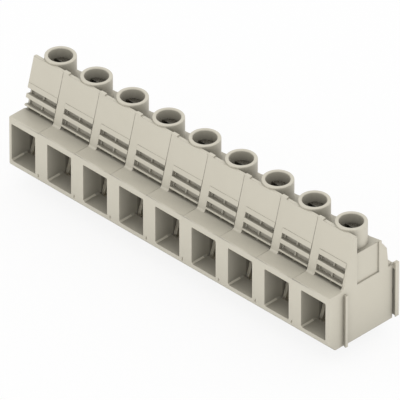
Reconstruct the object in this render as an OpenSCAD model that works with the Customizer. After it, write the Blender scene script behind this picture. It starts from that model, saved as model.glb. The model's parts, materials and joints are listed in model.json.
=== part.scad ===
// Terminal block for a printed circuit board: a row of moulded poles, each with a rising cage clamp.
// X runs along the row, Y from the wire side to the back, Z up from the board.
// The origin lies on the board plane, midway between the outer solder pins.

/* [Row] */
// Number of poles
poles = 9; // [2:1:9]
// Distance from one pole to the next
pitch = 10.16; // [9.8:0.01:12]

/* [Wire opening] */
// Width of the wire opening
opening_w = 6.74; // [6.4:0.01:7]
// Height of the wire opening
opening_h = 8.85; // [8.5:0.05:9.2]
// Height of the opening's floor above the board
opening_floor = 2.85; // [2.6:0.05:3.1]
// Depth of the opening's floor, from the front face to the clamp chamber
opening_depth = 4.4; // [4:0.1:4.6]
// Corner radius of the opening
opening_corner = 0.2; // [0.1:0.05:0.9]
// Bevel between the opening's floor and its left wall
opening_bevel = 0.3; // [0.2:0.05:0.8]

/* [Housing walls] */
// Wall to the right of the opening, which carries the joining rib
right_wall = 0.98; // [0.9:0.01:1.2]
// Left wall of the first housing
first_wall = 0.72; // [0.5:0.01:0.9]
// Height of the shelf above the wire opening's roof
shelf_t = 1.5; // [1.2:0.05:2]
// Bevel under the front face
front_bevel = 1.85; // [1:0.05:2.2]
// Width and depth of the gate notch at the foot of each seam
notch_w = 0.35; // [0.2:0.05:0.5]
// Height of that notch
notch_h = 0.65; // [0.4:0.05:0.9]
// Height of the notch's lower edge above the board
notch_z = 2.4; // [2.3:0.05:2.6]

/* [Front plate] */
// Distance of the plate's foot from the front face
plate_foot = 4.05; // [3.8:0.05:4.3]
// Lean of the plate from the vertical
plate_lean = 15; // [13:0.5:17]
// Height of the plate's top edge above the shelf
plate_h = 11.2; // [10.9:0.1:11.5]
// Thickness of the plate at its top edge
plate_top_t = 0.75; // [0.5:0.05:0.9]
// Wall between the plate's outer face and the clamp chamber
plate_wall = 1.75; // [1.6:0.05:2.1]
// Height of the nib on the plate's top edge
nib_h = 0.35; // [0.2:0.05:0.6]
// Length of the nib along the row
nib_w = 1.5; // [1:0.1:1.7]

/* [Marker holder] */
// Depth of the holder's pockets behind the plate's face
pocket_depth = 1.1; // [0.7:0.05:1.2]
// Depth of the webs behind the plate's face
web_depth = 0.75; // [0.2:0.05:0.8]
// Thickness of the webs in the pockets
web_t = 0.4; // [0.3:0.05:0.8]
// Distance that the bars stand out of the plate
bar_proud = 0.1; // [0.05:0.05:0.4]
// Height of the foot pocket along the plate
foot_pocket = 0.72; // [0.5:0.02:0.9]
// Height of the lowest bar, a thin blade
blade_h = 0.42; // [0.3:0.02:0.6]
// Height of the pocket between the blade and the middle bar
lower_pocket = 1.34; // [1:0.02:1.5]
// Height of the middle bar
middle_bar = 0.94; // [0.7:0.02:1.1]
// Height of the pocket under the lip
upper_pocket = 1.24; // [1:0.02:1.4]
// Height of the lip over the pockets
lip_h = 1.14; // [0.8:0.02:1.3]
// Distance from the pole's middle to the left end of the holder
holder_left = 3.7; // [3.4:0.05:3.9]
// Inset of the bars at the free left end of the holder
bar_inset = 0.15; // [0.1:0.05:0.5]
// Plain margin right of the holder on the last housing
holder_margin = 0.65; // [0.4:0.05:0.9]
// Radius at the foot of the plate beside the holder
foot_r = 0.6; // [0.3:0.05:0.9]

/* [Screw tower] */
// Distance of the screw's axis from the front face
screw_y = 10.54; // [10.4:0.02:10.7]
// Outer diameter of the tower
tower_d = 6.54; // [6.2:0.02:6.7]
// Bore of the tower
tower_bore = 4.96; // [4.8:0.02:5.2]
// Height of the tower's rim above the plate's top edge
rim_over_plate = 0.5; // [0.2:0.05:0.8]
// Bevel on the tower's rim
rim_bevel = 0.15; // [0.05:0.05:0.2]

/* [Back of the housing] */
// Roof over the clamp chamber
roof_t = 0.65; // [0.6:0.05:1]
// Rise of the roof from the screw's line to the right wall
roof_rise = 0.7; // [0.1:0.05:0.8]
// Distance of the roof's back edge from the front face
roof_end = 14.85; // [14.8:0.05:15.2]
// Run of the bevel behind the roof
back_bevel_run = 1.35; // [1:0.05:1.6]
// Drop of the bevel behind the roof
back_bevel_drop = 1.8; // [1.4:0.05:2.2]
// Run of the draft below that bevel
back_draft = 0.45; // [0.1:0.05:0.5]
// Height of the ledge at the back
ledge_z = 13.55; // [12.6:0.05:14]
// Depth of the housing, from the front face to the back
depth = 17.8; // [17.5:0.05:18.4]
// Depth of the core left out of the back wall, seen from below
core_t = 0.9; // [0.6:0.05:1]
// Height of that core
core_h = 11.5; // [8:0.1:11.8]

/* [Joining rib] */
// Distance that the rib and the hook stand out of the right wall
rib_out = 0.8; // [0.5:0.05:1]
// Undercut of the rib's front side
rib_undercut = 0.25; // [0.1:0.05:0.35]
// Distance of the rib from the front face
rib_y = 3.85; // [3.4:0.05:4.2]
// Width of the rib's flat crest
rib_w = 0.75; // [0.6:0.05:1]
// Height of the rib
rib_h = 12.3; // [10:0.1:12.8]
// Clearance between joined housings
join_fit = 0.06; // [0.03:0.01:0.1]

/* [Joining hook] */
// Distance that the hook stands behind the housing
hook_out = 1.1; // [0.9:0.05:1.3]
// Length of the hook's root on the back face
hook_root = 1.4; // [1:0.05:1.8]
// Width of the slot between the hook and the housing
hook_slot = 0.45; // [0.4:0.05:0.55]
// Thickness of the hook's lip
hook_lip = 0.25; // [0.2:0.05:0.3]
// Height of the hook's lower end above the board
hook_z = 0.5; // [0:0.05:0.8]
// Height of the slot
hook_slot_h = 11.85; // [9:0.05:12.2]
// Thickness of the cap over the slot
hook_cap = 0.6; // [0.4:0.05:0.8]
// Height of the hook's outer end
hook_h = 13.45; // [12.95:0.05:14]

/* [Side recess] */
// Depth of the recess in the right wall, and of the notch at the end of the ledge
recess_depth = 0.35; // [0.2:0.05:0.45]
// Distance of the recess from the back of the front plate
recess_inset = 0.1; // [0.05:0.05:0.6]
// Length of the recess
recess_w = 6.1; // [5:0.05:6.3]
// Height of the recess's and the notch's lower edge above the board
recess_z = 12.9; // [12:0.05:14]

/* [Current bar] */
// Thickness of the bar's strip
strip_t = 1.2; // [1:0.05:1.4]
// Clearance between the bar's strip and the yoke's legs
strip_side = 0.2; // [0.1:0.05:0.4]
// Gap between the bar's foot and the board
foot_gap = 0.05; // [0.03:0.01:0.08]
// Inner radius of the bar's bends
bend_r = 0.3; // [0.2:0.05:0.6]
// Length of the bar's upper arm, measured from the back of the bar
arm_len = 9.4; // [8.6:0.05:9.6]
// Clearance of the bar in its slot
strip_fit = 0.1; // [0.05:0.01:0.2]
// Diameter of the solder pins
pin_d = 1.3; // [1:0.05:1.5]
// Length of the solder pins below the board plane
pin_len = 3.2; // [2.5:0.1:4.5]
// Distance between the two rows of pins
pin_rows = 7.62; // [7.2:0.02:8]
// Distance of the back row of pins from the front face
pin_back = 13.2; // [13:0.05:13.6]
// Margin of the bar's foot in front of the front pin
foot_margin = 0.4; // [0.2:0.05:0.45]
// Bevel at the tips of the pins
pin_tip = 0.3; // [0.1:0.05:0.4]

/* [Clamping yoke] */
// Thickness of the yoke's legs and bottom
yoke_t = 0.8; // [0.6:0.05:0.85]
// Thickness of the yoke's threaded top
yoke_top_t = 2; // [1.6:0.05:2.4]
// Clear height between the yoke's bottom and the current bar, with the yoke down
wire_h = 6.85; // [6.6:0.05:7]
// Travel of the yoke
yoke_travel = 5.95; // [5:0.05:6]
// Clearance of the yoke in the clamp chamber on each side
yoke_fit = 0.17; // [0.1:0.01:0.25]
// Running gap above and below the moving yoke
yoke_gap = 0.3; // [0.2:0.05:0.4]
// Length of the yoke's threaded top
yoke_top_len = 5; // [4.8:0.05:5.2]
// Outer radius of the yoke's bends
yoke_bend = 1; // [0.9:0.05:1.3]
// Forward reach of the yoke's foot
yoke_toe = 0.75; // [0.4:0.05:0.8]
// Height of that foot above the yoke's bottom
yoke_toe_h = 2.9; // [2:0.1:3.2]
// Height of the knee where the yoke's legs lean back
yoke_knee = 3.5; // [3.3:0.1:4]

/* [Clamp screw] */
// Diameter over the screw's thread
screw_d = 4; // [3.5:0.1:4]
// Clearance of the thread in the yoke
thread_fit = 0.08; // [0.04:0.01:0.1]
// Clearance of the screw's neck in the collar
neck_fit = 0.15; // [0.1:0.01:0.25]
// Thickness of the collar under the screw's head
collar_t = 1.05; // [0.9:0.05:1.4]
// Height of the screw's head
head_h = 3; // [2.4:0.1:3.2]
// Clearance of the head in the tower
head_fit = 0.1; // [0.06:0.01:0.2]
// Play of the captive screw up and down
screw_play = 0.05; // [0.03:0.01:0.1]
// Bevel round the head and at the tip
screw_bevel = 0.3; // [0.1:0.05:0.4]
// Width of the driver slot
slot_w = 0.9; // [0.6:0.05:1.2]
// Depth of the driver slot
slot_depth = 1.2; // [0.8:0.05:1.5]

/* [Hidden] */
$fn = 64;
// Overshoot of the cutting shapes
cut = 1;
// Flats along the round foot of the plate
fillet_steps = 8;

// The frame: the board plane is Z = 0, and the pin rows lie to both sides of Y = 0
front_y = pin_rows / 2 - pin_back;
function pole_x(k) = (k - (poles + 1) / 2) * pitch;

// Faces of a housing, from its pole's middle line
right_x = opening_w / 2 + right_wall;
seam_left_x = right_x - pitch;
first_left_x = -opening_w / 2 - first_wall;
function left_x(k) = k == 1 ? first_left_x : seam_left_x;
function width(k) = right_x - left_x(k);

// Heights above the board
opening_roof = opening_floor + opening_h;
shelf_z = opening_roof + shelf_t;
foot_top = foot_gap + strip_t;
yoke_z = foot_top + yoke_gap;
yoke_floor = yoke_z + yoke_t;
arm_z = yoke_floor + wire_h;
arm_top = arm_z + strip_t;
yoke_top_z = arm_top + yoke_gap;
yoke_h = yoke_top_z + yoke_top_t - yoke_z;
chamber_roof = yoke_z + yoke_h + yoke_travel + yoke_gap / 2;
roof_z = chamber_roof + roof_t;
collar_top = chamber_roof + collar_t;
plate_top = shelf_z + plate_h;
rim_z = plate_top + rim_over_plate;

// The plate's top edge and back, from the front face
plate_top_y = plate_foot + plate_h * tan(plate_lean);
plate_back_y = plate_top_y + plate_top_t;

// The back wall: the foot of its bevel and its foot on the ledge, from the front face
back_bevel_y = roof_end + back_bevel_run;
back_foot_y = back_bevel_y + back_draft;

// The current bar, from the front face
bend_out = bend_r + strip_t;
leg_back = pin_back + pin_d / 2 + bend_out;
leg_front = leg_back - strip_t;
pin_front = pin_back - pin_rows;
foot_front = pin_front - pin_d / 2 - foot_margin;

// The chamber's front wall is parallel to the plate, and its back wall stands just in front of the bar's leg
function chamber_front(z) = plate_foot + plate_wall / cos(plate_lean) + (z - shelf_z) * tan(plate_lean);
chamber_back = leg_front - strip_fit;

// The yoke clears the chamber's front wall at the top of its travel
yoke_front = chamber_front(yoke_z + yoke_knee + yoke_travel) + yoke_gap;
yoke_back = screw_y + yoke_top_len / 2;
yoke_top_front = screw_y - yoke_top_len / 2;
yoke_w = opening_w - 2 * yoke_fit;
strip_w = yoke_w - 2 * yoke_t - 2 * strip_side;

// Marker holder, measured up the plate from its foot
blade_s = foot_pocket;
lower_s = blade_s + blade_h;
middle_s = lower_s + lower_pocket;
upper_s = middle_s + middle_bar;
lip_s = upper_s + upper_pocket;

// Side outline of a housing, as [distance from the front face, height]
outline = [
    [front_bevel, 0],
    [0, front_bevel],
    [0, shelf_z],
    [plate_foot, shelf_z],
    [plate_top_y, plate_top],
    [plate_back_y, plate_top],
    [plate_back_y, roof_z],
    [roof_end, roof_z],
    [back_bevel_y, roof_z - back_bevel_drop],
    [back_foot_y, ledge_z],
    [depth, ledge_z],
    [depth, 0]
];

// Extrudes an outline of [Y, Z] points along X, from x to x + w
module along_x(x, w) {
    translate([x, 0, 0])
        rotate([90, 0, 90])
            linear_extrude(w)
                children();
}

// Places a shape on the plate's face: Z runs up the plate, Y into it
module on_plate() {
    translate([0, plate_foot, shelf_z])
        rotate([-plate_lean, 0, 0])
            children();
}

// Block on the plate between two X values, two depths and two heights
module plate_block(x, y, z) {
    on_plate()
        translate([x[0], y[0], z[0]])
            cube([x[1] - x[0], y[1] - y[0], z[1] - z[0]]);
}

// Flat shape with four round corners, centred on X and standing on Z = 0
module rounded(w, h, r) {
    translate([-w / 2, r])
        square([w, h - 2 * r]);
    translate([-w / 2 + r, 0])
        square([w - 2 * r, h]);
    for (x = [-w / 2 + r, w / 2 - r], y = [r, h - r])
        translate([x, y])
            circle(r);
}

// Extrudes a flat shape of [X, Z] points along Y, from y to y + d
module along_y(y, d) {
    translate([0, y + d, 0])
        rotate([90, 0, 0])
            linear_extrude(d)
                children();
}

// Wire opening, through to the chamber, with a bevel along its floor
module opening_cut() {
    reach = chamber_front(opening_roof);
    difference() {
        along_y(-cut, reach + cut)
            translate([0, opening_floor])
                rounded(opening_w, opening_h, opening_corner);
        translate([-opening_w / 2, opening_depth / 2, opening_floor])
            rotate([0, 45, 0])
                cube([opening_bevel * sqrt(2), opening_depth, opening_bevel * sqrt(2)], center = true);
    }
}

// Clamp chamber, open to the board
module chamber_cut() {
    mouth_z = shelf_z - (chamber_front(shelf_z) - opening_depth) / tan(plate_lean);
    along_x(-opening_w / 2, opening_w)
        polygon([
            [opening_depth, -cut],
            [opening_depth, mouth_z],
            [chamber_front(chamber_roof), chamber_roof],
            [chamber_back, chamber_roof],
            [chamber_back, -cut]
        ]);
}

// Slot for the back leg of the current bar, open to the board
module leg_cut() {
    leg_slot = strip_w + 2 * strip_fit;
    translate([-leg_slot / 2, chamber_back - cut, -cut])
        cube([leg_slot, leg_back + strip_fit - chamber_back + cut, arm_top + strip_fit + cut]);
}

// Core left out of the back wall, open to the board
module back_core_cut() {
    slot_back = leg_back + strip_fit;
    translate([-opening_w / 2, (slot_back + depth - core_t) / 2, -cut])
        cube([opening_w, core_t, core_h + cut]);
}

// Joining rib, undercut at its front, grown by a fit where it cuts a groove
module joining_rib(fit) {
    drop = fit > 0 ? cut : 0;
    rib_end = rib_y + rib_w + fit;
    translate([0, 0, -drop])
        linear_extrude(rib_h + fit + drop)
            polygon([
                [-right_wall / 2, rib_y + rib_undercut - fit],
                [0, rib_y + rib_undercut - fit],
                [rib_out + fit, rib_y - fit],
                [rib_out + fit, rib_end],
                [-right_wall / 2, rib_end]
            ]);
}

// Hook on the back face, which reaches past the right wall and holds the next housing's tongue
module joining_hook() {
    arm_y = depth + join_fit;
    arm_d = hook_out - join_fit;
    cap_h = hook_slot_h + hook_cap - hook_z;
    difference() {
        translate([0, 0, hook_z]) {
            translate([-hook_root, depth - hook_slot, 0])
                cube([hook_root, hook_slot + hook_out, cap_h]);
            translate([-hook_slot, arm_y, 0])
                cube([hook_slot + rib_out, arm_d, cap_h]);
            translate([0, arm_y, 0])
                cube([rib_out, arm_d, hook_h - hook_z]);
        }
        translate([-hook_slot, depth, -cut])
            cube([hook_slot + rib_out - hook_lip, hook_slot, hook_slot_h + cut]);
    }
}

// Tongue on the back face, held in the hook of the housing before
module joining_tongue() {
    translate([join_fit, depth - hook_slot, 0])
        cube([rib_out - hook_lip - 2 * join_fit, 2 * hook_slot - join_fit, hook_slot_h - join_fit]);
}

// Wedge on the roof, which rises from the screw's line to the right wall
module roof_wedge() {
    start = plate_back_y - plate_top_t / 2;
    along_y(start, roof_end - start)
        polygon([
            [0, roof_z],
            [0, roof_z - roof_t / 2],
            [right_x, roof_z - roof_t / 2],
            [right_x, roof_z + roof_rise]
        ]);
}

// Tower round the screw, with a bevelled rim
module tower() {
    r = tower_d / 2;
    bore_r = tower_bore / 2;
    translate([0, screw_y, 0])
        rotate_extrude()
            polygon([
                [0, chamber_roof],
                [r, chamber_roof],
                [r, rim_z - rim_bevel],
                [r - rim_bevel, rim_z],
                [bore_r + rim_bevel, rim_z],
                [bore_r, rim_z - rim_bevel],
                [bore_r, collar_top],
                [0, collar_top]
            ]);
}

// Space for the screw: the tower's bore above the collar, the neck's hole through it
module screw_cut() {
    translate([0, screw_y, collar_top])
        cylinder(d = tower_bore, h = rim_z - collar_top + cut);
    translate([0, screw_y, chamber_roof - cut])
        cylinder(d = screw_d + 2 * neck_fit, h = collar_t + 2 * cut);
}

// Bars of the marker holder that stand out of the plate
module marker_bars(x) {
    y = [-bar_proud, pocket_depth];
    plate_block(x, y, [blade_s, lower_s]);
    plate_block(x, y, [middle_s, upper_s]);
    plate_block(x, [-bar_proud, web_depth], [lip_s, lip_s + lip_h]);
}

// Pockets of the marker holder, without the webs that stand in them
module marker_pockets(x) {
    left = max(x[0], -holder_left);
    difference() {
        plate_block(x, [-bar_proud, pocket_depth], [0, lip_s]);
        plate_block([left, left + web_t], [web_depth, pocket_depth + cut], [-cut, lip_s + cut]);
        plate_block([-web_t / 2, web_t / 2], [web_depth, pocket_depth + cut], [-cut, lip_s + cut]);
    }
}

// Round foot of the plate between two X values, on the shelf
module plate_fillet(x) {
    turn = 90 - plate_lean;
    run = foot_r * tan(turn / 2);
    along_x(x[0], x[1] - x[0])
        polygon([
            for (i = [0:fillet_steps])
                [plate_foot - run + foot_r * sin(turn * i / fillet_steps),
                 shelf_z + foot_r - foot_r * cos(turn * i / fillet_steps)],
            [plate_foot + foot_r, shelf_z - foot_r]
        ]);
}

// One moulded pole
module housing(k) {
    holder_x = [
        k == 1 ? first_left_x : -holder_left,
        k == poles ? right_x - holder_margin : right_x
    ];
    color([0.83, 0.81, 0.74])
        translate([pole_x(k), front_y, 0])
            difference() {
                union() {
                    difference() {
                        along_x(left_x(k), width(k))
                            polygon(outline);
                        marker_pockets(holder_x);
                    }
                    marker_bars([holder_x[0] + (k == 1 ? bar_inset : 0), holder_x[1]]);
                    tower();
                    roof_wedge();
                    if (k > 1) {
                        translate([left_x(k), 0, 0])
                            joining_tongue();
                        plate_fillet([left_x(k), holder_x[0]]);
                        translate([left_x(k), plate_top_y, plate_top])
                            cube([nib_w, plate_top_t, nib_h]);
                    }
                    if (k == poles)
                        plate_fillet([holder_x[1], right_x]);
                    translate([right_x, 0, 0]) {
                        joining_rib(0);
                        joining_hook();
                    }
                }
                opening_cut();
                chamber_cut();
                leg_cut();
                back_core_cut();
                screw_cut();
                translate([right_x - recess_depth, plate_back_y + recess_inset, recess_z])
                    cube([recess_depth + cut, recess_w, roof_z - recess_z + cut]);
                translate([right_x - recess_depth, back_foot_y, recess_z])
                    cube([recess_depth + cut, depth + join_fit / 2 - back_foot_y, ledge_z - recess_z + cut]);
                if (k > 1)
                    translate([left_x(k), 0, 0])
                        joining_rib(join_fit);
                if (k < poles)
                    translate([right_x - notch_w, -cut, notch_z])
                        cube([notch_w + cut, notch_w + cut, notch_h]);
            }
}

// Quarter bend of the bar's strip, its centre on the X axis, turned by an angle
module bend(turn) {
    rotate([turn, 0, 0])
        rotate([0, 90, 0])
            translate([0, 0, -strip_w / 2])
                rotate_extrude(angle = 90)
                    translate([bend_r, 0])
                        square([strip_t, strip_w]);
}

// Current bar: an upper arm in the yoke, a back leg, and a foot with two solder pins
module current_bar(k) {
    color([0.80, 0.80, 0.78])
        translate([pole_x(k), front_y, 0])
            union() {
                translate([-strip_w / 2, leg_back - arm_len, arm_z])
                    cube([strip_w, arm_len - bend_out, strip_t]);
                translate([-strip_w / 2, leg_front, foot_gap + bend_out])
                    cube([strip_w, strip_t, arm_top - foot_gap - 2 * bend_out]);
                translate([-strip_w / 2, foot_front, foot_gap])
                    cube([strip_w, leg_back - bend_out - foot_front, strip_t]);
                translate([0, leg_back - bend_out, arm_top - bend_out])
                    bend(90);
                translate([0, leg_back - bend_out, foot_gap + bend_out])
                    bend(0);
                for (y = [pin_front, pin_back])
                    translate([0, y, -pin_len])
                        solder_pin();
            }
}

// Round solder pin with a bevelled tip
module solder_pin() {
    cylinder(d1 = pin_d - 2 * pin_tip, d2 = pin_d, h = pin_tip);
    translate([0, 0, pin_tip])
        cylinder(d = pin_d, h = pin_len + foot_gap + strip_t / 2 - pin_tip);
}

// Clamping yoke: a bent steel cage round the current bar, with a threaded top
module clamping_yoke(k) {
    window_h = yoke_top_z - yoke_floor;
    lift = yoke_t + window_h;
    color([0.72, 0.72, 0.70])
        translate([pole_x(k), front_y, yoke_z])
            difference() {
                intersection() {
                    along_x(-yoke_w / 2, yoke_w)
                        polygon([
                            [yoke_front - yoke_toe, 0],
                            [yoke_back, 0],
                            [yoke_back, yoke_h],
                            [yoke_top_front, yoke_h],
                            [yoke_top_front, lift],
                            [yoke_front, yoke_knee],
                            [yoke_front, yoke_toe_h],
                            [yoke_front - yoke_toe, yoke_t]
                        ]);
                    along_y(0, depth)
                        rounded(yoke_w, yoke_h, yoke_bend);
                }
                along_y(0, depth)
                    translate([0, yoke_t])
                        rounded(yoke_w - 2 * yoke_t, window_h, yoke_bend - yoke_t);
                translate([0, screw_y, lift - cut])
                    cylinder(d = screw_d + 2 * thread_fit, h = yoke_top_t + 2 * cut);
            }
}

// Clamp screw: slotted head on the collar, threaded shank with its tip on the current bar
module clamp_screw(k) {
    head_r = tower_bore / 2 - head_fit;
    shank_r = screw_d / 2;
    seat_z = collar_top + screw_play;
    tip_z = arm_top + screw_play;
    color([0.66, 0.67, 0.68])
        translate([pole_x(k), front_y + screw_y, 0])
            difference() {
                rotate_extrude()
                    polygon([
                        [0, tip_z],
                        [shank_r - screw_bevel, tip_z],
                        [shank_r, tip_z + screw_bevel],
                        [shank_r, seat_z],
                        [head_r, seat_z],
                        [head_r, seat_z + head_h - screw_bevel],
                        [head_r - screw_bevel, seat_z + head_h],
                        [0, seat_z + head_h]
                    ]);
                translate([-tower_d / 2, -slot_w / 2, seat_z + head_h - slot_depth])
                    cube([tower_d, slot_w, slot_depth + cut]);
            }
}

for (k = [1:poles]) {
    housing(k);
    current_bar(k);
    clamping_yoke(k);
    clamp_screw(k);
}
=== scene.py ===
import json
import math

import bmesh
import bpy
from mathutils import Matrix, Vector
from mathutils.bvhtree import BVHTree


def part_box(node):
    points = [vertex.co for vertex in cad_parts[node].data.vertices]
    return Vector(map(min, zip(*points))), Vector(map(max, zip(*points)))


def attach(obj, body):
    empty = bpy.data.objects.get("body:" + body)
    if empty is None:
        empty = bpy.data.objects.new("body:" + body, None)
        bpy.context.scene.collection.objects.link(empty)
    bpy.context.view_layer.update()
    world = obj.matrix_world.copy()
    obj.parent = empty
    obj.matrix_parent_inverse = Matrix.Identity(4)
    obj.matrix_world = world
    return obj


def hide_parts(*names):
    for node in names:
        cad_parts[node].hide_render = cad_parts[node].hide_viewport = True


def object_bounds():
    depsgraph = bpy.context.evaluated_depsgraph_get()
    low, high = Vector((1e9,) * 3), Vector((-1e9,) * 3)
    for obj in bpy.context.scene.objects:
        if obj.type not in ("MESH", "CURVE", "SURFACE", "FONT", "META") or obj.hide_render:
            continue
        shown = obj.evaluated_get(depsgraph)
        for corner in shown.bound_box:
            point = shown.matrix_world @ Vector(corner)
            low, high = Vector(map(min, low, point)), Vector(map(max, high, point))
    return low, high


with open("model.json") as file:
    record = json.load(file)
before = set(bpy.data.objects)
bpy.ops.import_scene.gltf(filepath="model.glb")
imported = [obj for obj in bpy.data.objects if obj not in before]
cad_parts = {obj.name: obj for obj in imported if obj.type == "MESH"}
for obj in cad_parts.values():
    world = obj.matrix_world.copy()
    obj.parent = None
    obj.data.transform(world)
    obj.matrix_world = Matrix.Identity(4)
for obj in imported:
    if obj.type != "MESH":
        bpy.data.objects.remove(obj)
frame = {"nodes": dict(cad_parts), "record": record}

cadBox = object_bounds()
mm = 0.001
touch = 0.004 * mm  # a point this near a face lies on it
poleCount = sum(name.startswith("housing_") for name in frame["nodes"])
print("frame loaded:", len(frame["nodes"]), "nodes,", poleCount, "poles")


def snapped(length):
    return round(length / mm, 3) * mm  # the frame's meshes are in single precision


# the row of poles, measured on the frame
row = {
    "pitch": snapped(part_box("housing_3")[0].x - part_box("housing_2")[0].x),
    "frontFace": snapped(cadBox[0].y),
}


def poleX(number):
    return (number - (poleCount + 1) / 2) * row["pitch"]


def measureRow():
    shell = [vert.co for vert in frame["nodes"]["housing_1"].data.vertices]
    frontRim = [point for point in shell if point.y < row["frontFace"] + touch]
    boardRim = [point for point in shell if point.z < touch]
    row["rightFace"] = snapped(max(point.x for point in frontRim) - poleX(1))  # from the pole's middle
    row["backFace"] = snapped(max(point.y for point in boardRim))
    row["shelf"] = snapped(max(point.z for point in frontRim))


measureRow()
print("row measured, in mm:", {name: round(length / mm, 3) for name, length in row.items()})

# camera at the photograph's angle: a long lens, so that the row keeps its parallel lines
shot = {
    "azimuth": 45.0,
    "elevation": 34.9,
    "lens": 1500.0,
    "sensor": 36.0,
    "frameWidth": 79.27 * mm,
    "aim": (-0.034 * mm, -0.194 * mm, 10.337 * mm),
    "seesTo": 50.0,
}


def aimedFrom(azimuth, elevation):
    turn = math.radians(azimuth)
    rise = math.radians(elevation)
    return Vector((math.sin(turn) * math.cos(rise), -math.cos(turn) * math.cos(rise), math.sin(rise)))


def setCamera():
    data = bpy.data.cameras.new("photoCamera")
    data.lens = shot["lens"]
    data.sensor_width = shot["sensor"]
    data.clip_end = shot["seesTo"]
    camera = bpy.data.objects.new("photoCamera", data)
    bpy.context.scene.collection.objects.link(camera)
    back = aimedFrom(shot["azimuth"], shot["elevation"])
    camera.location = Vector(shot["aim"]) + back * (shot["frameWidth"] * shot["lens"] / shot["sensor"])
    camera.rotation_mode = "QUATERNION"
    camera.rotation_quaternion = (-back).to_track_quat("-Z", "Y")
    bpy.context.scene.camera = camera


setCamera()
print("camera set")


# node trees for the finishes
def linked(tree, kind, links=(), **settings):
    node = tree.nodes.new(kind)
    for key, value in settings.items():
        if hasattr(node, key):
            setattr(node, key, value)
        else:
            node.inputs[key.replace("_", " ")].default_value = value
    for name, source in dict(links).items():
        tree.links.new(source, node.inputs[name])
    return node


def calc(tree, operation, *values):
    node = tree.nodes.new("ShaderNodeMath")
    node.operation = operation
    for slot, value in zip(node.inputs, values):
        if isinstance(value, (int, float)):
            slot.default_value = value
        else:
            tree.links.new(value, slot)
    return node.outputs["Value"]


def newMaterial(name):
    material = bpy.data.materials.new(name)
    material.use_nodes = True
    tree = material.node_tree
    tree.nodes.clear()
    return material, tree


def mixed(tree, factor, first, second):
    node = linked(tree, "ShaderNodeMix", {"Factor": factor}, data_type="RGBA", A=(*first, 1), B=(*second, 1))
    return node.outputs["Result"]


def spread(tree, value, low, high):
    node = linked(tree, "ShaderNodeMapRange", {"Value": value}, To_Min=low, To_Max=high)
    return node.outputs["Result"]


# painted shade: deep openings are darker in the base colour, by ambient occlusion; the share of the tone that
# is left where little light gets in
paintedShadeRays = 6
paintedCavityShades = (
    {"reach": 14.0 * mm, "closed": 0.30, "open": 0.91, "share": 0.60},  # wire openings and bores
    {"reach": 3.0 * mm, "closed": 0.50, "open": 0.92, "share": 0.90},  # corners and pockets
)


# multiplies the tone by painted shade, darker where less of the surroundings is open
def addPaintedCavityShade(tree, tone):
    for cavity in paintedCavityShades:
        openness = linked(tree, "ShaderNodeAmbientOcclusion", samples=paintedShadeRays, Distance=cavity["reach"])
        light = linked(tree, "ShaderNodeMapRange", {"Value": openness.outputs["AO"]},
                       From_Min=cavity["closed"], From_Max=cavity["open"], To_Min=cavity["share"], To_Max=1.0)
        deep = linked(tree, "ShaderNodeMix", {"A": tone, "B": light.outputs["Result"]},
                      data_type="RGBA", blend_type="MULTIPLY", Factor=1.0)
        tone = deep.outputs["Result"]
    return tone


# places of a pole with painted shade or with the painted shade left out: corners in mm from its middle, the
# front face and the board
paintedChamberShade = {"low": (-3.6, 5.05, 1.0), "high": (3.6, 14.0, 13.0), "share": 0.60}  # painted shade round the clamp, where the chamber lies in shadow
# places where the painted shade is left out, so that they read lighter than their surroundings
paintedShadeLeftOut = (
    {"low": (-3.40, -0.1, 2.80), "high": (-3.06, 3.3, 3.16)},  # bevel along the opening's floor: painted shade left out, so it shows as a painted highlight
    {"low": (3.95, 0.03, 2.35), "high": (4.33, 0.4, 3.10)},  # gate notch at the foot of the seam: painted shade left out, so it shows lighter
)


def insideOf(tree, place, zone):
    half = row["pitch"] / 2
    x, y, z = linked(tree, "ShaderNodeSeparateXYZ", {"Vector": place}).outputs
    x = calc(tree, "WRAP", calc(tree, "SUBTRACT", x, poleX(1)), half, -half)
    y = calc(tree, "SUBTRACT", y, row["frontFace"])
    mask = 1.0
    for value, low, high in zip((x, y, z), zone["low"], zone["high"]):
        within = calc(tree, "COMPARE", value, (low + high) / 2 * mm, (high - low) / 2 * mm)
        mask = calc(tree, "MULTIPLY", mask, within)
    return mask


# the plastic's tone with painted shade: cavity shade, a darker box round the clamp, and places left at the
# plain tone as painted highlights
def withPaintedShade(tree, place, tone):
    share = paintedChamberShade["share"]
    dark = linked(tree, "ShaderNodeMix", {"A": addPaintedCavityShade(tree, tone), "Factor": insideOf(tree, place, paintedChamberShade)},
                  data_type="RGBA", blend_type="MULTIPLY", B=(share, share, share, 1))
    result = dark.outputs["Result"]
    for zone in paintedShadeLeftOut:
        pick = linked(tree, "ShaderNodeMix",
                      {"A": result, "B": tone, "Factor": insideOf(tree, place, zone)}, data_type="RGBA")
        result = pick.outputs["Result"]
    return result


# pebble grey moulding: soft cloudy tone, fine spark-eroded grain
plasticLook = {
    "paleTone": (0.614, 0.578, 0.482),
    "deepTone": (0.583, 0.548, 0.454),
    "cloudScale": 260.0,
    "cloudDetail": 4.0,
    "grainScale": 9000.0,
    "grainDetail": 2.0,
    "grainHeight": 0.006 * mm,
    "grainStrength": 0.25,
    "smoothest": 0.44,
    "roughest": 0.58,
}


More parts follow.
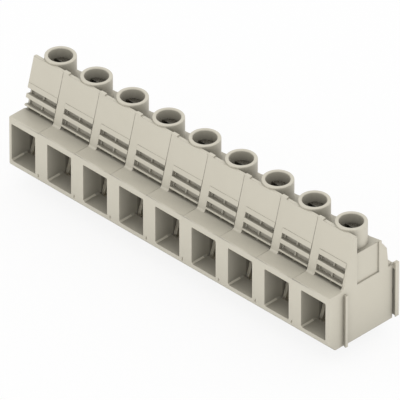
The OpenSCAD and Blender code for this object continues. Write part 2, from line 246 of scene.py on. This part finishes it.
def makePlastic():
    look = plasticLook
    material, tree = newMaterial("pebbleGreyPlastic")
    place = tree.nodes.new("ShaderNodeTexCoord").outputs["Object"]
    cloud = linked(tree, "ShaderNodeTexNoise", {"Vector": place},
                   Scale=look["cloudScale"], Detail=look["cloudDetail"])
    grain = linked(tree, "ShaderNodeTexNoise", {"Vector": place},
                   Scale=look["grainScale"], Detail=look["grainDetail"])
    bump = linked(tree, "ShaderNodeBump", {"Height": grain.outputs["Fac"]},
                  Strength=look["grainStrength"], Distance=look["grainHeight"])
    tone = mixed(tree, cloud.outputs["Fac"], look["deepTone"], look["paleTone"])
    # the base colour carries painted shade
    shader = linked(tree, "ShaderNodeBsdfPrincipled", {
        "Base Color": withPaintedShade(tree, place, tone),
        "Roughness": spread(tree, grain.outputs["Fac"], look["smoothest"], look["roughest"]),
        "Normal": bump.outputs["Normal"],
    })
    linked(tree, "ShaderNodeOutputMaterial", {"Surface": shader.outputs["BSDF"]})
    return material


# three metals of the clamp: tinned bar, zinc plated cage, zinc plated screw, whose dark tone is partly
# painted shade for the bottom of its bore
metalLooks = {
    "tinnedCopper": {
        "bright": (0.78, 0.77, 0.73),
        "dull": (0.62, 0.61, 0.57),
        "patchScale": 700.0,
        "lineScale": (9000.0, 900.0, 9000.0),  # drawn along the bar
        "smoothest": 0.26,
        "roughest": 0.44,
    },
    "zincCage": {
        "bright": (0.84, 0.80, 0.69),
        "dull": (0.70, 0.66, 0.56),
        "patchScale": 900.0,
        "lineScale": (1200.0, 9000.0, 9000.0),  # rolled across the row
        "smoothest": 0.42,
        "roughest": 0.62,
    },
    "zincScrewPaintedShade": {
        # dark tone, partly painted shade for the bottom of the bore
        "bright": (0.31, 0.298, 0.27),
        "dull": (0.235, 0.225, 0.203),
        "patchScale": 1200.0,
        "lineScale": (2500.0, 2500.0, 12000.0),  # turned
        "smoothest": 0.20,
        "roughest": 0.36,
    },
}
metalGrain = {"patchDetail": 3.0, "lineDetail": 2.0, "lineHeight": 0.004 * mm, "lineStrength": 0.2}


def makeMetal(name):
    look = metalLooks[name]
    material, tree = newMaterial(name)
    place = tree.nodes.new("ShaderNodeTexCoord").outputs["Object"]
    patch = linked(tree, "ShaderNodeTexNoise", {"Vector": place},
                   Scale=look["patchScale"], Detail=metalGrain["patchDetail"])
    drawn = linked(tree, "ShaderNodeMapping", {"Vector": place}, Scale=look["lineScale"])
    lines = linked(tree, "ShaderNodeTexNoise", {"Vector": drawn.outputs["Vector"]},
                   Scale=1.0, Detail=metalGrain["lineDetail"])
    bump = linked(tree, "ShaderNodeBump", {"Height": lines.outputs["Fac"]},
                  Strength=metalGrain["lineStrength"], Distance=metalGrain["lineHeight"])
    shader = linked(tree, "ShaderNodeBsdfPrincipled", {
        "Base Color": mixed(tree, patch.outputs["Fac"], look["dull"], look["bright"]),
        "Roughness": spread(tree, lines.outputs["Fac"], look["smoothest"], look["roughest"]),
        "Normal": bump.outputs["Normal"],
    }, Metallic=1.0)
    linked(tree, "ShaderNodeOutputMaterial", {"Surface": shader.outputs["BSDF"]})
    return material


plastic = makePlastic()
tinnedCopper, zincCage, zincScrewPaintedShade = (makeMetal(name) for name in ("tinnedCopper", "zincCage", "zincScrewPaintedShade"))
print("finishes made")

# rounded edges: each edge gets as much of its radius as the neighbouring edges leave it
edgeRules = {
    "mergeWithin": 0.002 * mm,
    "flatWithin": math.radians(0.6),
    "sharpFrom": math.radians(28),
    "shareOfRoom": 0.42,
    "acrossFrom": 0.5,  # share of a touching edge's length that has to run across
    "least": 0.015 * mm,  # narrower edges stay plain
    "shortest": 1e-6 * mm,
}
# where a rounding stands proud of its solid or folds over, the edges beside it are eased and tried again
easing = {
    "proud": 0.006 * mm,
    "foldFrom": math.radians(135),
    "foldWithin": 1.0 * mm,  # longer folds are corners of the solid itself
    "reach": 0.3 * mm,
    "tries": 14,
    "shortEdge": 3.0 * mm,
    "shortTries": 6,  # only short edges are eased at first
}


def plainCopy(node):
    source = frame["nodes"][node].data
    mesh = bpy.data.meshes.new(node + "Soft")
    mesh.from_pydata([vert.co for vert in source.vertices], [], [face.vertices for face in source.polygons])
    shape = bmesh.new()
    shape.from_mesh(mesh)
    bmesh.ops.remove_doubles(shape, verts=shape.verts, dist=edgeRules["mergeWithin"])
    bmesh.ops.dissolve_degenerate(shape, edges=shape.edges, dist=edgeRules["mergeWithin"])
    bmesh.ops.dissolve_limit(shape, angle_limit=edgeRules["flatWithin"], verts=shape.verts, edges=shape.edges)
    return mesh, shape


def gapBetween(point, start, end):
    along = end - start
    share = (point - start).dot(along) / max(along.length_squared, edgeRules["shortest"] ** 2)
    return (start + along * max(0.0, min(1.0, share)) - point).length


def roomBeside(edge):
    start, end = (vert.co for vert in edge.verts)
    direction = (end - start).normalized()
    room = math.inf
    for other in (near for face in edge.link_faces for near in face.edges if near is not edge):
        shared = [vert for vert in other.verts if vert in edge.verts]
        if shared:
            tip = other.other_vert(shared[0]).co - shared[0].co
            across = tip - direction * tip.dot(direction)
            if across.length > edgeRules["acrossFrom"] * tip.length:
                room = min(room, across.length)
        else:
            first, last = (vert.co for vert in other.verts)
            gaps = [gapBetween(point, start, end) for point in (first, last)]
            gaps += [gapBetween(point, first, last) for point in (start, end)]
            room = min(room, *gaps)
    return room


def evaluatedMesh(piece):
    depsgraph = bpy.context.evaluated_depsgraph_get()
    return bpy.data.meshes.new_from_object(piece.evaluated_get(depsgraph), depsgraph=depsgraph)


def applied(piece):
    finished = evaluatedMesh(piece)
    finished.name = piece.name
    piece.modifiers.clear()
    piece.data = finished
    return piece


def faultsIn(piece, solid):
    # places where the rounding stands proud of its solid or folds over
    trial = evaluatedMesh(piece)
    shape = bmesh.new()
    shape.from_mesh(trial)
    bpy.data.meshes.remove(trial)
    places = []
    for vert in shape.verts:
        near, normal, _, gap = solid.find_nearest(vert.co)
        if gap > easing["proud"] and (vert.co - near).dot(normal) > 0:
            places += [near] + [edge.other_vert(vert).co.copy() for edge in vert.link_edges]
    for edge in shape.edges:
        if edge.calc_face_angle(0) > easing["foldFrom"] and edge.calc_length() < easing["foldWithin"]:
            places.append((edge.verts[0].co + edge.verts[1].co) / 2)
    shape.free()
    return places


def eased(mesh, places, least, longest):
    # half the width, down to a plain edge, for the edges beside those places
    widths = mesh.attributes["bevel_weight_edge"].data
    for edge in mesh.edges:
        start, end = (mesh.vertices[index].co for index in edge.vertices)
        if not widths[edge.index].value or (end - start).length > longest:
            continue
        if any(gapBetween(place, start, end) < easing["reach"] for place in places):
            half = widths[edge.index].value / 2
            widths[edge.index].value = half if half > least else 0.0
            edge.use_edge_sharp = half <= least
    mesh.update()


def rounded(name, mesh, shape, plan, radiusOf):
    solid = BVHTree.FromBMesh(shape)
    weight = shape.edges.layers.float.new("bevel_weight_edge")
    for edge in shape.edges:
        if len(edge.link_faces) != 2 or edge.calc_face_angle(0) < edgeRules["sharpFrom"]:
            continue
        edge.smooth = False
        if edge.is_convex:
            width = min(radiusOf(edge), edgeRules["shareOfRoom"] * roomBeside(edge))
            edge[weight] = width / plan["radius"] if width > edgeRules["least"] else 0.0
            edge.smooth = edge[weight] > 0
    for face in shape.faces:
        face.smooth = True
    shape.to_mesh(mesh)
    shape.free()
    piece = bpy.data.objects.new(name, mesh)
    bpy.context.scene.collection.objects.link(piece)
    bevel = piece.modifiers.new("softEdges", "BEVEL")
    bevel.limit_method = "WEIGHT"
    bevel.width = plan["radius"]
    bevel.segments = plan["steps"]
    bevel.use_clamp_overlap = False
    bevel.harden_normals = True
    for attempt in range(easing["tries"]):
        places = faultsIn(piece, solid)
        if not places:
            break
        longest = easing["shortEdge"] if attempt < easing["shortTries"] else math.inf
        eased(mesh, places, edgeRules["least"] / plan["radius"], longest)
    print(name, "rounded, eased", attempt, "times, faults in the last test:", len(places))
    return applied(piece)


def shiftedCopy(piece, name, shift):
    mesh = piece.data.copy()
    mesh.name = name
    mesh.transform(Matrix.Translation((shift, 0, 0)))
    copy = bpy.data.objects.new(name, mesh)
    bpy.context.scene.collection.objects.link(copy)
    return copy


def dress(piece, node, material):
    piece.data.materials.clear()
    piece.data.materials.append(material)
    bodies = frame["record"]["behaviour"]["bodies"]
    body = next(name for name, nodes in bodies.items() if node in nodes)
    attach(piece, body)
    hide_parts(node)


# moulded housings: the first and the last differ, those between are one moulding
moulding = {
    "radius": 0.26 * mm,
    "steps": 3,
    "seamRadius": 0.14 * mm,
    "seamGap": 0.07 * mm,
    "seamStart": 1.0 * mm,  # the gap begins this far behind the front face
    "frontStrip": 2.0 * mm,  # upright seam edges this near the front face stay plain
    "zones": (  # corners in mm from the pole's middle, the front face and the board
        {"low": (-3.5, -0.1, 2.7), "high": (3.5, 5.6, 11.9), "radius": 0.12 * mm},  # wire opening
        {"low": (-4.8, 3.0, 13.1), "high": (4.3, 8.0, 20.6), "radius": 0.10 * mm},  # marker holder
        {"low": (4.34, 2.5, -0.1), "high": (5.4, 19.2, 13.6), "radius": 0.10 * mm},  # rib and hook
        {"low": (-6.0, 6.9, 24.2), "high": (4.4, 8.0, 25.4), "radius": 0.10 * mm},  # top edge of the plate
        {"low": (-2.7, 7.7, 18.2), "high": (2.7, 13.4, 20.4), "radius": 0.0},  # captive ring inside the tower
    ),
}


def openSeam(shape, number):
    # a hair of room at the joint face above the shelf, so that the joint shows as a fine line
    if number == poleCount:
        return
    face = poleX(number) + row["rightFace"]
    start = row["frontFace"] + moulding["seamStart"]
    for vert in shape.verts:
        between = start < vert.co.y < row["backFace"] + touch
        if between and vert.co.z > row["shelf"] - touch and abs(vert.co.x - face) < touch:
            vert.co.x -= moulding["seamGap"]


def seamRadius(ends, number):
    # None away from the seams; the front faces run on without a line, shelf and plate show one
    faces = [poleX(pole) + row["rightFace"] for pole in (number - 1, number) if 0 < pole < poleCount]
    reach = moulding["seamGap"] + touch
    if not any(all(abs(point.x - face) < reach for point in ends) for face in faces):
        return None
    stripEnd = row["frontFace"] + moulding["frontStrip"]
    onFront = all(point.z < row["shelf"] + touch and point.y < stripEnd for point in ends)
    upright = abs(ends[0].z - ends[1].z) > touch
    return 0.0 if onFront and upright else moulding["seamRadius"]


def mouldedRadius(edge, number):
    ends = [vert.co for vert in edge.verts]
    radius = seamRadius(ends, number)
    if radius is not None:
        return radius
    corner = Vector((poleX(number), row["frontFace"], 0))
    for zone in moulding["zones"]:
        limits = [(point - corner, zone["low"], zone["high"]) for point in ends]
        if all(low * mm < value < high * mm for limit in limits for value, low, high in zip(*limit)):
            return zone["radius"]
    return moulding["radius"]


housings = {}
for pole in range(1, poleCount + 1):
    name = f"moulding{pole}"
    if pole in (1, 2, poleCount):
        mesh, shape = plainCopy(f"housing_{pole}")
        openSeam(shape, pole)
        housings[pole] = rounded(name, mesh, shape, moulding, lambda edge: mouldedRadius(edge, pole))
    else:
        housings[pole] = shiftedCopy(housings[2], name, poleX(pole) - poleX(2))
for pole, piece in housings.items():
    dress(piece, f"housing_{pole}", plastic)
print("housings made:", len(housings))

# screw thread: a cylinder whose radius follows the turn, joined to the head
thread = {
    "crest": 2.0 * mm,
    "depth": 0.33 * mm,
    "pitch": 0.7 * mm,
    "crestFlat": 0.12,  # shares of half a pitch
    "rootFlat": 0.12,
    "chamfer": 0.3 * mm,
    "neck": 18.3 * mm,  # the solid is kept above this height
    "overlap": 0.2 * mm,
    "around": 40,
    "ringsPerTurn": 14,
}


def makeThreadTree():
    tree = bpy.data.node_groups.new("screwThread", "GeometryNodeTree")
    sockets = tree.interface
    sockets.new_socket("Geometry", in_out="INPUT", socket_type="NodeSocketGeometry")
    for name in ("Crest Radius", "Thread Depth", "Pitch", "Length", "Tip Chamfer"):
        sockets.new_socket(name, in_out="INPUT", socket_type="NodeSocketFloat")
    sockets.new_socket("Tip", in_out="INPUT", socket_type="NodeSocketVector")
    sockets.new_socket("Finish", in_out="INPUT", socket_type="NodeSocketMaterial")
    sockets.new_socket("Geometry", in_out="OUTPUT", socket_type="NodeSocketGeometry")
    given = tree.nodes.new("NodeGroupInput").outputs

    def work(operation, *values):
        return calc(tree, operation, *values)

    turns = work("DIVIDE", given["Length"], given["Pitch"])
    tube = linked(tree, "GeometryNodeMeshCylinder", {
        "Radius": given["Crest Radius"],
        "Depth": given["Length"],
        "Side Segments": work("MULTIPLY", turns, thread["ringsPerTurn"]),
    }, Vertices=thread["around"])
    place = tree.nodes.new("GeometryNodeInputPosition").outputs["Position"]
    x, y, z = linked(tree, "ShaderNodeSeparateXYZ", {"Vector": place}).outputs
    height = work("ADD", z, work("MULTIPLY", given["Length"], 0.5))

    # the groove's depth goes up and down once a turn, and runs out under the head
    turn = work("DIVIDE", work("ARCTAN2", y, x), math.tau)
    phase = work("FRACT", work("SUBTRACT", work("DIVIDE", height, given["Pitch"]), turn))
    aside = work("ABSOLUTE", work("SUBTRACT", work("MULTIPLY", phase, 2.0), 1.0))
    flank = linked(tree, "ShaderNodeMapRange", {"Value": aside},
                   From_Min=thread["crestFlat"], From_Max=1.0 - thread["rootFlat"]).outputs["Result"]
    turnsLeft = work("DIVIDE", work("SUBTRACT", given["Length"], height), given["Pitch"])
    fade = work("MINIMUM", work("MAXIMUM", turnsLeft, 0.0), 1.0)
    cutDepth = work("MULTIPLY", work("MULTIPLY", flank, fade), given["Thread Depth"])
    radius = work("SUBTRACT", given["Crest Radius"], cutDepth)
    atTip = work("ADD", work("SUBTRACT", given["Crest Radius"], given["Tip Chamfer"]), height)
    scale = work("DIVIDE", work("MINIMUM", radius, atTip), given["Crest Radius"])
    moved = linked(tree, "ShaderNodeCombineXYZ", {
        "X": work("MULTIPLY", x, scale),
        "Y": work("MULTIPLY", y, scale),
        "Z": height,
    })
    cut = linked(tree, "GeometryNodeSetPosition",
                 {"Geometry": tube.outputs["Mesh"], "Position": moved.outputs["Vector"]})

    # placed at the tip and joined to the head
    foot = linked(tree, "GeometryNodePoints", {"Position": given["Tip"]}, Count=1)
    placed = linked(tree, "GeometryNodeInstanceOnPoints",
                    {"Points": foot.outputs[0], "Instance": cut.outputs["Geometry"]})
    joined = linked(tree, "GeometryNodeJoinGeometry", {"Geometry": given["Geometry"]})
    tree.links.new(placed.outputs["Instances"], joined.inputs["Geometry"])
    real = linked(tree, "GeometryNodeRealizeInstances", {"Geometry": joined.outputs["Geometry"]})
    finish = linked(tree, "GeometryNodeSetMaterial",
                    {"Geometry": real.outputs["Geometry"], "Material": given["Finish"]})
    linked(tree, "NodeGroupOutput", {"Geometry": finish.outputs["Geometry"]})
    return tree


# metal pieces of the clamp: one of each is made, the other poles get shifted copies
currentBar = {
    "node": "current_bar",
    "name": "currentBar",
    "radius": 0.16 * mm,
    "steps": 2,
    "finish": tinnedCopper,
    "slot": "tinned_copper",
}
clampCage = {
    "node": "clamping_yoke",
    "name": "clampCage",
    "radius": 0.14 * mm,
    "steps": 2,
    "finish": zincCage,
    "slot": "plated_steel",
}
clampScrew = {
    "node": "clamp_screw",
    "name": "clampScrew",
    "radius": 0.10 * mm,
    "steps": 2,
    "finish": zincScrewPaintedShade,
    "slot": "screw_steel",
}


def makeBent(plan):
    mesh, shape = plainCopy(plan["node"] + "_1")
    return rounded(plan["name"], mesh, shape, plan, lambda edge: plan["radius"])


def makeScrew(plan):
    node = plan["node"] + "_1"
    low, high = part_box(node)
    mesh, shape = plainCopy(node)
    parts = shape.verts[:] + shape.edges[:] + shape.faces[:]
    bmesh.ops.bisect_plane(shape, geom=parts, plane_co=(0, 0, thread["neck"]), plane_no=(0, 0, 1),
                           clear_inner=True)
    rim = [edge for edge in shape.edges if edge.is_boundary]
    bmesh.ops.contextual_create(shape, geom=rim)
    bmesh.ops.recalc_face_normals(shape, faces=shape.faces)
    screw = rounded(plan["name"], mesh, shape, plan, lambda edge: plan["radius"])
    settings = {
        "Crest Radius": thread["crest"],
        "Thread Depth": thread["depth"],
        "Pitch": thread["pitch"],
        "Length": thread["neck"] + thread["overlap"] - low.z,
        "Tip Chamfer": thread["chamfer"],
        "Tip": ((low.x + high.x) / 2, (low.y + high.y) / 2, low.z),
        "Finish": plan["finish"],
    }
    modifier = screw.modifiers.new("screwThread", "NODES")
    modifier.node_group = makeThreadTree()
    for item in modifier.node_group.interface.items_tree:
        if item.in_out == "INPUT" and item.name in settings:
            modifier[item.identifier] = settings[item.name]
    return applied(screw)


for plan, make in ((currentBar, makeBent), (clampCage, makeBent), (clampScrew, makeScrew)):
    name = plan["name"]
    first = make(plan)
    first.name = name + "1"
    pieces = [first]
    for pole in range(2, poleCount + 1):
        pieces.append(shiftedCopy(first, f"{name}{pole}", poleX(pole) - poleX(1)))
    for pole, piece in enumerate(pieces, 1):
        dress(piece, f"{plan['node']}_{pole}", plan["finish"])
    print(name, "made for", len(pieces), "poles")

# pale floor under the pins, white to the camera, with a faint shadow
floorPlan = {
    "size": 8.0,
    "level": cadBox[0].z,
    "tone": (0.95, 0.95, 0.95),
    "mottle": 0.99,  # share of the tone in its darker patches
    "mottleScale": 20.0,
    "mottleDetail": 2.0,
    "white": 0.85,  # share of plain white that the camera sees, the rest takes the shadow
}


def whiteShare(tree, amount):
    rays = tree.nodes.new("ShaderNodeLightPath")
    total = rays.outputs["Is Camera Ray"]
    for name in ("Is Glossy Ray", "Is Transmission Ray"):
        total = calc(tree, "MAXIMUM", total, rays.outputs[name])
    return calc(tree, "MULTIPLY", total, amount)


def makeFloor():
    half = floorPlan["size"] / 2
    mesh = bpy.data.meshes.new("paleFloor")
    corners = [(-half, -half), (half, -half), (half, half), (-half, half)]
    mesh.from_pydata([(x, y, floorPlan["level"]) for x, y in corners], [], [(0, 1, 2, 3)])
    floor = bpy.data.objects.new("paleFloor", mesh)
    bpy.context.scene.collection.objects.link(floor)
    material, tree = newMaterial("paleFloor")
    place = tree.nodes.new("ShaderNodeTexCoord").outputs["Object"]
    mottle = linked(tree, "ShaderNodeTexNoise", {"Vector": place},
                    Scale=floorPlan["mottleScale"], Detail=floorPlan["mottleDetail"])
    darker = [channel * floorPlan["mottle"] for channel in floorPlan["tone"]]
    tone = mixed(tree, mottle.outputs["Fac"], darker, floorPlan["tone"])
    diffuse = linked(tree, "ShaderNodeBsdfDiffuse", {"Color": tone})
    glow = linked(tree, "ShaderNodeEmission", Color=(1, 1, 1, 1), Strength=1.0)
    blend = linked(tree, "ShaderNodeMixShader", {
        0: whiteShare(tree, floorPlan["white"]),
        1: diffuse.outputs["BSDF"],
        2: glow.outputs["Emission"],
    })
    linked(tree, "ShaderNodeOutputMaterial", {"Surface": blend.outputs["Shader"]})
    mesh.materials.append(material)


makeFloor()
print("floor laid")

# soft light: an even sky and one very soft lamp beside the camera
lightPlan = {
    "sky": 1.0,
    "lampStrength": 0.25,
    "lampSoftness": 60.0,
    "lampAzimuth": 45.0,
    "lampElevation": 20.0,
}


def setSky():
    world = bpy.data.worlds.new("evenSky")
    world.use_nodes = True
    tree = world.node_tree
    tree.nodes.clear()
    sky = linked(tree, "ShaderNodeBackground", Color=(1, 1, 1, 1), Strength=lightPlan["sky"])
    white = linked(tree, "ShaderNodeBackground", Color=(1, 1, 1, 1), Strength=1.0)
    blend = linked(tree, "ShaderNodeMixShader", {
        0: whiteShare(tree, 1.0),
        1: sky.outputs["Background"],
        2: white.outputs["Background"],
    })
    linked(tree, "ShaderNodeOutputWorld", {"Surface": blend.outputs["Shader"]})
    bpy.context.scene.world = world


def setLamp():
    data = bpy.data.lights.new("softLamp", "SUN")
    data.energy = lightPlan["lampStrength"]
    data.angle = math.radians(lightPlan["lampSoftness"])
    lamp = bpy.data.objects.new("softLamp", data)
    bpy.context.scene.collection.objects.link(lamp)
    back = aimedFrom(lightPlan["lampAzimuth"], lightPlan["lampElevation"])
    lamp.rotation_mode = "QUATERNION"
    lamp.rotation_quaternion = (-back).to_track_quat("-Z", "Y")


setSky()
setLamp()
bpy.context.scene.view_settings.view_transform = "Standard"
print("light set")
